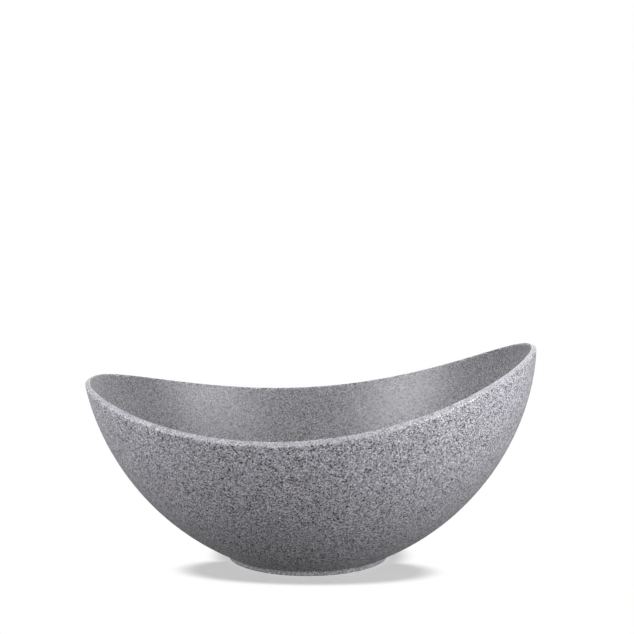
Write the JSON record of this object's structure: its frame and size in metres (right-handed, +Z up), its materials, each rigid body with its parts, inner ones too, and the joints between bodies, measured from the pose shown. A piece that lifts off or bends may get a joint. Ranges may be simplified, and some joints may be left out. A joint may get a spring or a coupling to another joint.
{
  "type": "bowl",
  "caption": "Oval melamine serving bowl with a swooping rim that rises higher at one end, granite-speckled grey, on a low round foot.",
  "frame": {"origin": "on the table, midway between the two ends of the rim", "axes": "+Z up, +X along the bowl towards its high end, the bowl alike on both sides of the XZ plane"},
  "size_m": [0.2992, 0.232, 0.1436],
  "materials": {
    "melamine_body": "satin-matt moulded melamine, granite speckle through the body",
    "melamine_glaze": "clear melamine glaze over the speckle, satin sheen"
  },
  "bodies": {
    "root": {"bowl_body": "melamine_body", "inside_glaze": "melamine_glaze"}
  },
  "joints": []
}
